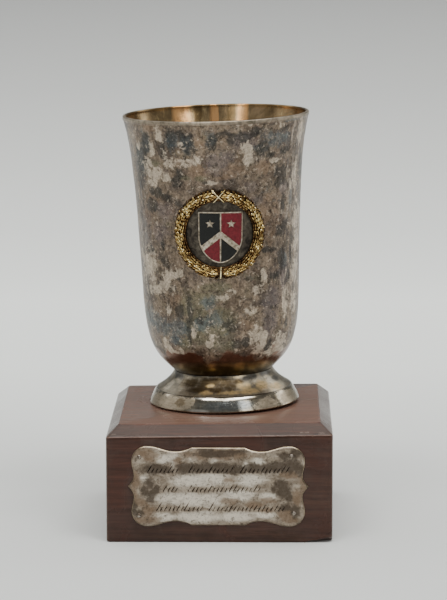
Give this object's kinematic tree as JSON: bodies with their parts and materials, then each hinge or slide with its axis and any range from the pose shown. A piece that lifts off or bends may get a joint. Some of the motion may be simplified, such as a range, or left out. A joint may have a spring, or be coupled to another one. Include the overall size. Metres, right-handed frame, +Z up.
{
  "type": "trophy cup",
  "caption": "Silver beaker trophy on a flared foot, with an enamelled shield in a gilt laurel wreath, on a bevelled wooden block with a plaque.",
  "frame": {"origin": "middle of the block's underside, where the trophy stands", "axes": "+Z up, front with the plaque and the medallion towards -Y, +X to the right as seen from the front"},
  "size_m": [0.083, 0.0844, 0.1547],
  "materials": {
    "wood": "satin varnished mahogany",
    "bowl_silver": "tarnished hammered silver",
    "foot_silver": "polished silver",
    "disc_silver": "oxidised silver",
    "gilt": "gilt",
    "shield_silver": "satin silver",
    "enamel": "glossy enamel",
    "plaque_silver": "tarnished silver plate",
    "pin_steel": "plain"
  },
  "bodies": {
    "root": {"wood_block": "wood", "bowl": "bowl_silver", "foot": "foot_silver", "medallion_disc": "disc_silver", "laurel_wreath": "gilt", "shield": "shield_silver", "plaque": "plaque_silver", "pin_1": "pin_steel", "pin_2": "pin_steel", "pin_3": "pin_steel", "pin_4": "pin_steel"}
  },
  "joints": []
}
